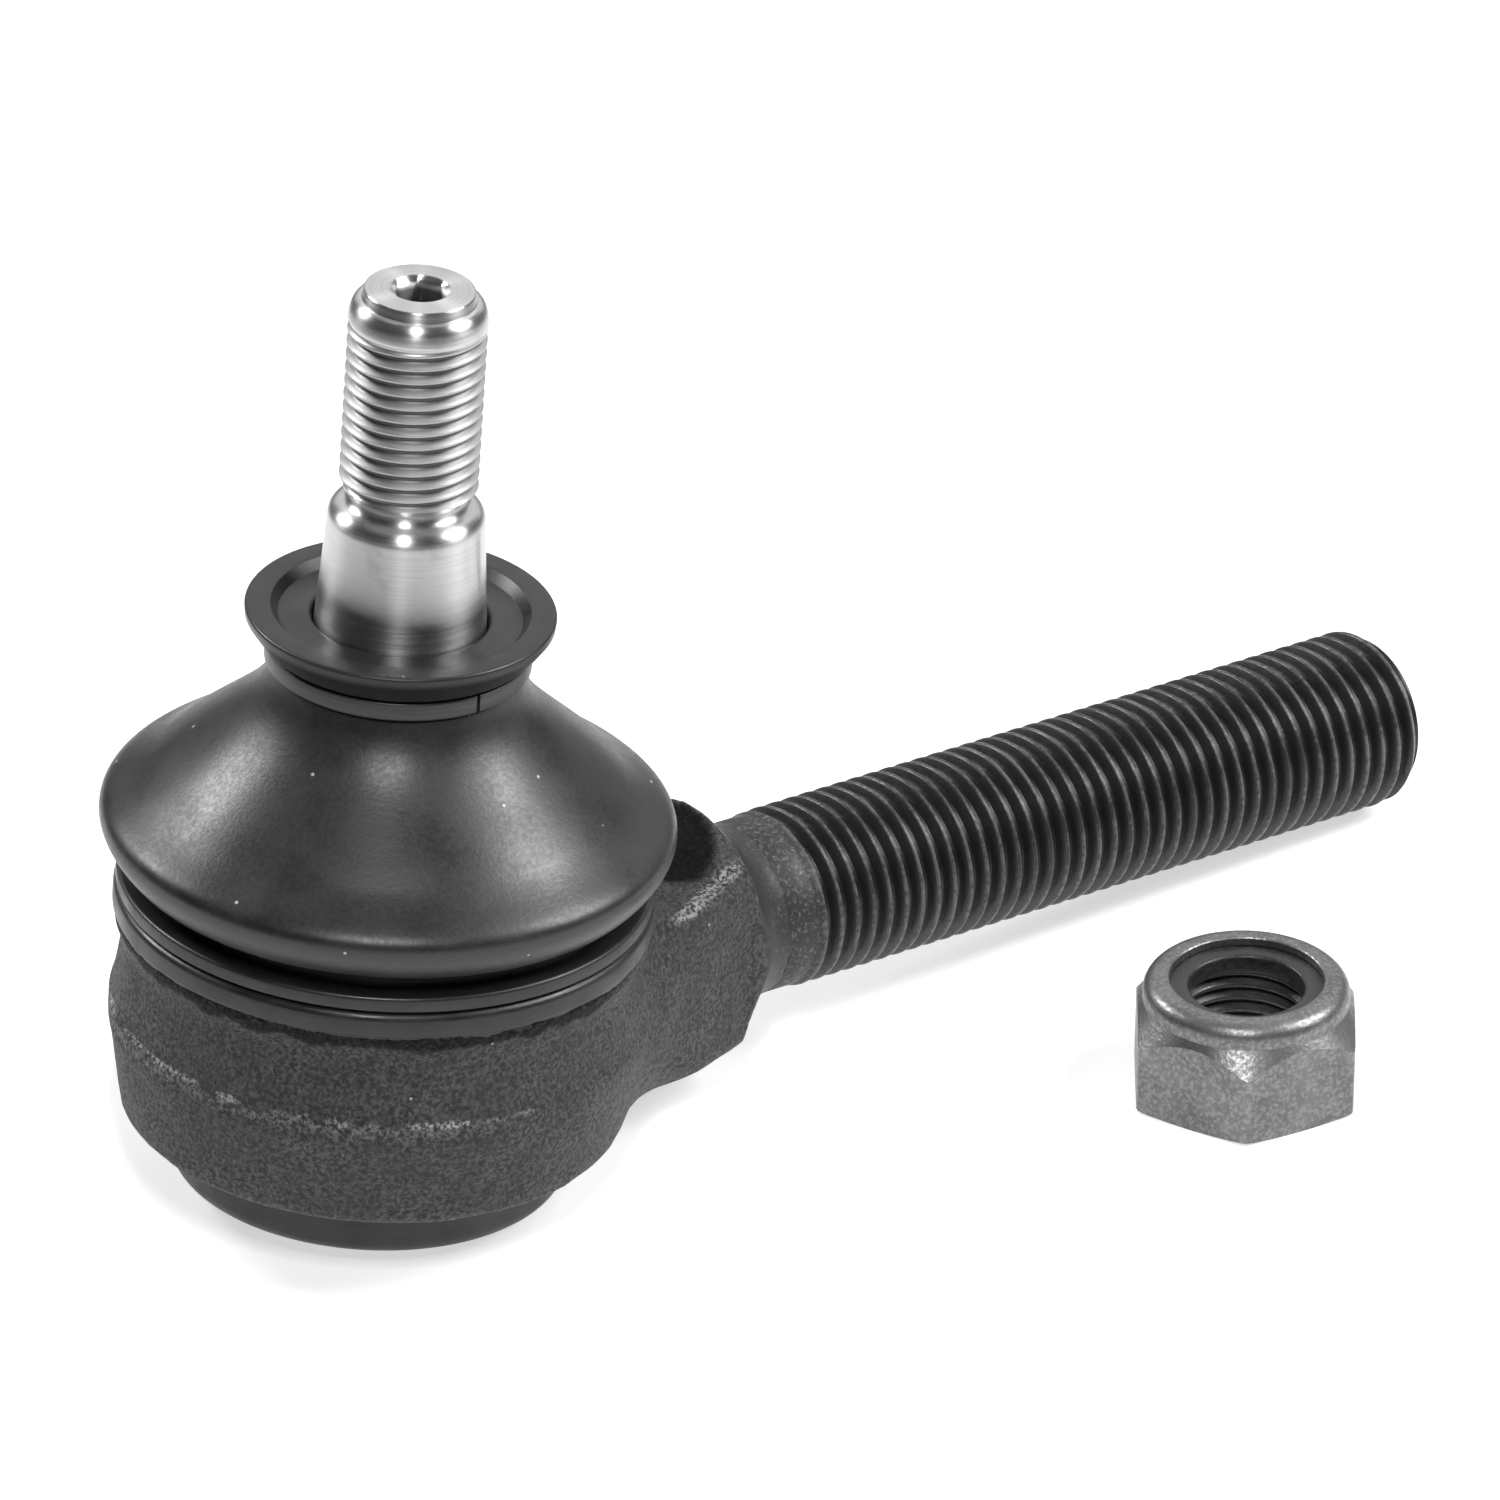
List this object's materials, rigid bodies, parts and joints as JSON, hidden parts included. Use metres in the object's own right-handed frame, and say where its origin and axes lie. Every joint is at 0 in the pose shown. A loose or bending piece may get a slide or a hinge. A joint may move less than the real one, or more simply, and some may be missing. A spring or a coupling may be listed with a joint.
{
  "type": "tie rod end",
  "caption": "Steering tie rod end: forged eye with threaded shank, tapered ball stud that swings and turns under a rubber boot, and its lock nut.",
  "frame": {"origin": "centre of the closing cap's flat bottom face, on the drum's axis", "axes": "+Z along the stud towards its tip, +X along the shank towards its end"},
  "size_m": [0.1359, 0.0685, 0.0844],
  "materials": {
    "forging": "blackened forged steel, rough skin, turned smooth on the bead, the cone and the thread",
    "turned_steel": "bright turned steel with fine tool marks",
    "seat_plastic": "moulded bearing plastic",
    "spring_steel": "tempered sheet",
    "blackened_sheet": "smooth blackened steel sheet",
    "boot_rubber": "satin black rubber",
    "flange_plastic": "matt dark moulding with a crisp rim",
    "clip_steel": "grey spring strip",
    "zinc_nut": "dull grey zinc plate",
    "insert_nylon": "dark nylon"
  },
  "bodies": {
    "housing": {"housing": "forging", "upper_seat": "seat_plastic", "lower_seat": "seat_plastic", "preload_spring": "spring_steel", "closing_cap": "blackened_sheet", "boot_ring": "blackened_sheet"},
    "boot": {"dust_boot": "boot_rubber"},
    "flange": {"boot_flange": "flange_plastic", "clip_ring": "clip_steel"},
    "stud": {"ball_stud": "turned_steel"},
    "nut": {"nut_body": "zinc_nut", "nut_insert": "insert_nylon"}
  },
  "joints": [
    {"name": "swing_side", "type": "hinge", "parent": "housing", "child": "boot", "pos_m": [0, 0, 0.015], "axis": [0, 1, 0], "range_deg": [-18, 18], "deforming": ["dust_boot"]},
    {"name": "swing_fore", "type": "hinge", "parent": "boot", "child": "flange", "pos_m": [0, 0, 0.015], "axis": [1, 0, 0], "range_deg": [-18, 18]},
    {"name": "stud_spin", "type": "hinge", "parent": "flange", "child": "stud", "pos_m": [0, 0, 0.015], "axis": [0, 0, 1], "continuous": true},
    {"name": "nut_lift", "type": "slide", "parent": "housing", "child": "nut", "axis": [-0.0604, 0, 0.9982], "range_m": [0, 0.03]}
  ]
}
